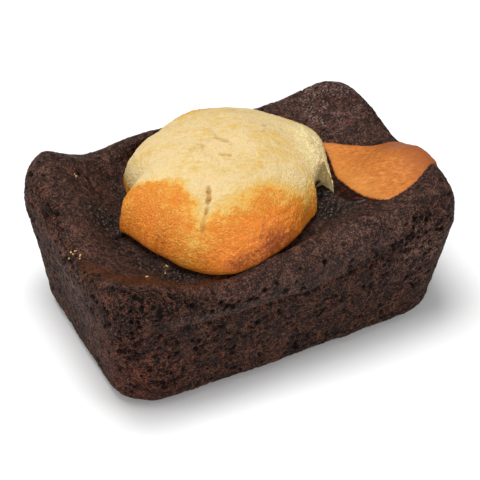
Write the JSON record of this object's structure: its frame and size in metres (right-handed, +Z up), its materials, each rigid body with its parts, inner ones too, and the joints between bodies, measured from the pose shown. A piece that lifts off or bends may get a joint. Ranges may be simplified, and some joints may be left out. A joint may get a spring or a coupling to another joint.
{
  "type": "mini marble loaf cake",
  "caption": "Small chocolate loaf cake with raised corners, a golden vanilla dome burst through its top and a vanilla patch running over one end.",
  "frame": {"origin": "middle of the loaf's flat base, on the surface that it stands on", "axes": "+X along the loaf to the end with the vanilla patch, +Y to the back long side, +Z up"},
  "size_m": [0.097, 0.0652, 0.0512],
  "materials": {
    "chocolate_sponge": "dark brown sponge, matte, with an open crumb on the walls and a smooth skin on top",
    "vanilla_sponge": "vanilla sponge, baked pale cream to golden orange, with a faint sheen"
  },
  "bodies": {
    "root": {"loaf": "chocolate_sponge"}
  },
  "joints": []
}
